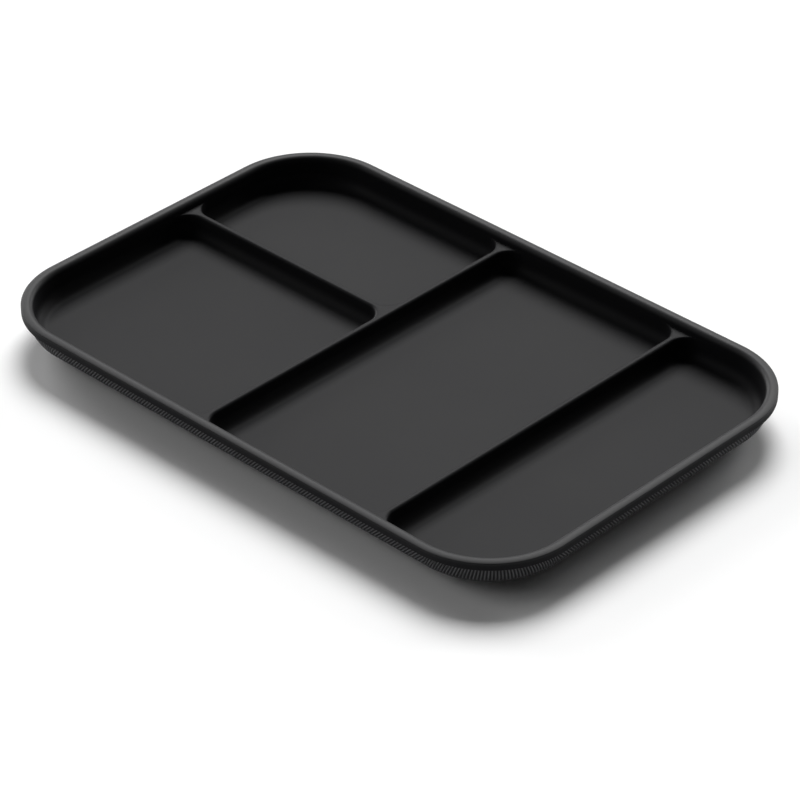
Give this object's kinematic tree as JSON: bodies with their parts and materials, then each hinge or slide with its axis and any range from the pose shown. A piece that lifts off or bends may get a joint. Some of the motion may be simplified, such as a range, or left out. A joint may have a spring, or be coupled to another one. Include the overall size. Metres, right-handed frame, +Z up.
{
  "type": "compartment tray",
  "caption": "Shallow soft-touch black desk tray with rounded corners, pockets between low dividers, a ribbed grip band below the lip and a screwed base",
  "frame": {"origin": "middle of the footprint, on the surface that the feet stand on", "axes": "+X along the tray's length towards the narrow full-depth pocket, +Y across it towards the back, +Z up out of the pockets"},
  "size_m": [0.27, 0.18, 0.0173],
  "materials": {
    "soft_touch_black": "soft-touch matte",
    "grip_rubber": "matte moulded ribs",
    "base_plastic": "fine matte texture",
    "black_steel": "black oxide",
    "foot_rubber": "matte"
  },
  "bodies": {
    "root": {"tray_body": "soft_touch_black", "grip_ring": "grip_rubber", "base_plate": "base_plastic", "base_screw_1": "black_steel", "base_screw_2": "black_steel", "base_screw_3": "black_steel", "base_screw_4": "black_steel", "base_screw_5": "black_steel", "base_screw_6": "black_steel", "foot_front_left": "foot_rubber", "foot_front_right": "foot_rubber", "foot_back_left": "foot_rubber", "foot_back_right": "foot_rubber"}
  },
  "joints": []
}
